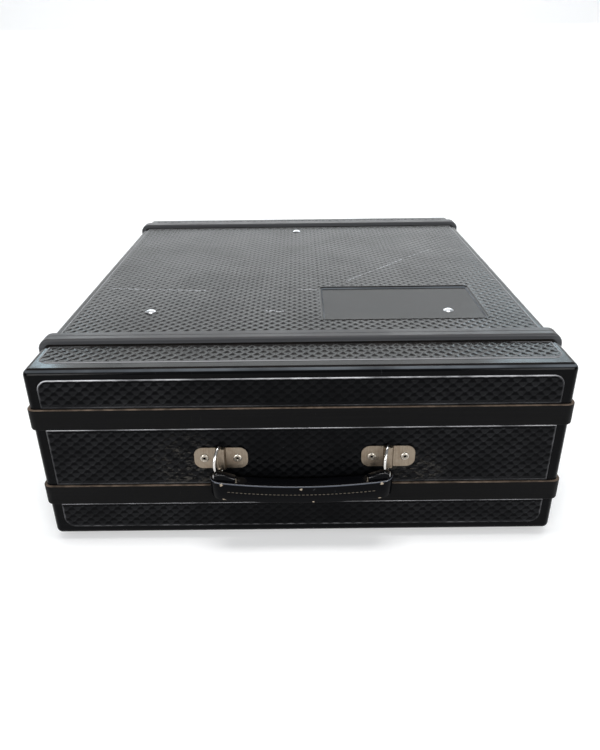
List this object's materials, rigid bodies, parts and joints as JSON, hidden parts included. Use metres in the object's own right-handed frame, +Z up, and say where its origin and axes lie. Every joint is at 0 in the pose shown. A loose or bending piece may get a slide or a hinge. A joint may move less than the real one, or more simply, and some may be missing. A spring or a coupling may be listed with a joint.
{
  "type": "rack case",
  "caption": "Flat hard case for rack equipment: a moulded sleeve with rack rails, a lift-off lid at each end held by draw latches, and a hinged carrying handle.",
  "frame": {"origin": "on the floor under the middle of the whole object, handle included", "axes": "+X to the right seen from the front lid with the handle, +Y towards the rear lid, +Z up"},
  "size_m": [0.5938, 0.6768, 0.2184],
  "materials": {
    "case_plastic": "black moulded plastic, glossy, with a fine diamond pattern",
    "valance_plastic": "black extruded rim, satin",
    "strip_plastic": "black rub strip, satin, a little dusty",
    "gasket_rubber": "soft black rubber",
    "rail_black": "black powder coat",
    "bolt_black": "black oxide",
    "brace_aluminium": "mill finish",
    "rivet_aluminium": "satin",
    "rivet_nickel": "bright, worn",
    "plate_nickel": "satin nickel, warm and tarnished",
    "bright_wire": "polished wire",
    "latch_nickel": "satin nickel",
    "core_steel": "plain spring steel",
    "grip_leather": "black leathercloth, waxed and stitched"
  },
  "bodies": {
    "case_body": {"body_front_valance": "valance_plastic", "body_rear_valance": "valance_plastic", "body_shell": "case_plastic", "body_strip_left_lower": "strip_plastic", "body_strip_left_upper": "strip_plastic", "body_strip_right_lower": "strip_plastic", "body_strip_right_upper": "strip_plastic", "brace_spacer": "brace_aluminium", "front_cross_brace": "brace_aluminium", "front_gasket": "gasket_rubber", "front_rack_rail_left": "rail_black", "front_rack_rail_right": "rail_black", "latch_base_front_left": "latch_nickel", "latch_base_front_right": "latch_nickel", "latch_base_rear_left": "latch_nickel", "latch_base_rear_right": "latch_nickel", "latch_base_rivets": "latch_nickel", "latch_pins": "latch_nickel", "rail_bolts": "bolt_black", "rear_cross_brace": "brace_aluminium", "rear_gasket": "gasket_rubber", "rear_rack_rail_left": "rail_black", "rear_rack_rail_right": "rail_black", "top_rivets": "rivet_aluminium"},
    "front_lid": {"front_keeper_rivets": "latch_nickel", "front_lid_shell": "case_plastic", "front_lid_strip_lower": "strip_plastic", "front_lid_strip_upper": "strip_plastic", "front_lid_valance": "valance_plastic", "handle_plate_left": "plate_nickel", "handle_plate_right": "plate_nickel", "handle_plate_rivets": "rivet_nickel", "handle_ring_left": "bright_wire", "handle_ring_right": "bright_wire", "latch_keeper_front_left": "latch_nickel", "latch_keeper_front_right": "latch_nickel"},
    "rear_lid": {"latch_keeper_rear_left": "latch_nickel", "latch_keeper_rear_right": "latch_nickel", "rear_keeper_rivets": "latch_nickel", "rear_lid_shell": "case_plastic", "rear_lid_strip_lower": "strip_plastic", "rear_lid_strip_upper": "strip_plastic", "rear_lid_valance": "valance_plastic"},
    "handle": {"grip_core": "core_steel", "grip_cover": "grip_leather"},
    "lever_front_left": {"latch_lever_front_left": "latch_nickel"},
    "bail_front_left": {"latch_bail_front_left": "bright_wire"},
    "lever_front_right": {"latch_lever_front_right": "latch_nickel"},
    "bail_front_right": {"latch_bail_front_right": "bright_wire"},
    "lever_rear_left": {"latch_lever_rear_left": "latch_nickel"},
    "bail_rear_left": {"latch_bail_rear_left": "bright_wire"},
    "lever_rear_right": {"latch_lever_rear_right": "latch_nickel"},
    "bail_rear_right": {"latch_bail_rear_right": "bright_wire"}
  },
  "joints": [
    {"name": "front_lid_pull", "type": "slide", "parent": "case_body", "child": "front_lid", "axis": [0, -1, 0], "range_m": [0, 0.15]},
    {"name": "rear_lid_pull", "type": "slide", "parent": "case_body", "child": "rear_lid", "axis": [0, 1, 0], "range_m": [0, 0.15]},
    {"name": "handle_lift", "type": "hinge", "parent": "front_lid", "child": "handle", "pos_m": [0.0035, -0.31903, 0.1084], "axis": [-1, 0, 0], "range_deg": [0, 95]},
    {"name": "lever_swing_front_left", "type": "hinge", "parent": "case_body", "child": "lever_front_left", "pos_m": [-0.289, -0.22413, 0.1092], "axis": [0, 0, 1], "range_deg": [0, 90]},
    {"name": "bail_swing_front_left", "type": "hinge", "parent": "lever_front_left", "child": "bail_front_left", "pos_m": [-0.289, -0.21513, 0.1092], "axis": [0, 0, 1], "range_deg": [-108, 0]},
    {"name": "lever_swing_front_right", "type": "hinge", "parent": "case_body", "child": "lever_front_right", "pos_m": [0.289, -0.22413, 0.1092], "axis": [0, 0, -1], "range_deg": [0, 90]},
    {"name": "bail_swing_front_right", "type": "hinge", "parent": "lever_front_right", "child": "bail_front_right", "pos_m": [0.289, -0.21513, 0.1092], "axis": [0, 0, -1], "range_deg": [-108, 0]},
    {"name": "lever_swing_rear_left", "type": "hinge", "parent": "case_body", "child": "lever_rear_left", "pos_m": [-0.289, 0.26437, 0.1092], "axis": [0, 0, -1], "range_deg": [0, 90]},
    {"name": "bail_swing_rear_left", "type": "hinge", "parent": "lever_rear_left", "child": "bail_rear_left", "pos_m": [-0.289, 0.25537, 0.1092], "axis": [0, 0, -1], "range_deg": [-108, 0]},
    {"name": "lever_swing_rear_right", "type": "hinge", "parent": "case_body", "child": "lever_rear_right", "pos_m": [0.289, 0.26437, 0.1092], "axis": [0, 0, 1], "range_deg": [0, 90]},
    {"name": "bail_swing_rear_right", "type": "hinge", "parent": "lever_rear_right", "child": "bail_rear_right", "pos_m": [0.289, 0.25537, 0.1092], "axis": [0, 0, 1], "range_deg": [-108, 0]}
  ],
  "couplings": [
    {"joint": "bail_swing_front_left", "follows": "lever_swing_front_left", "ratio": -1.2},
    {"joint": "bail_swing_front_right", "follows": "lever_swing_front_right", "ratio": -1.2},
    {"joint": "bail_swing_rear_left", "follows": "lever_swing_rear_left", "ratio": -1.2},
    {"joint": "bail_swing_rear_right", "follows": "lever_swing_rear_right", "ratio": -1.2}
  ]
}
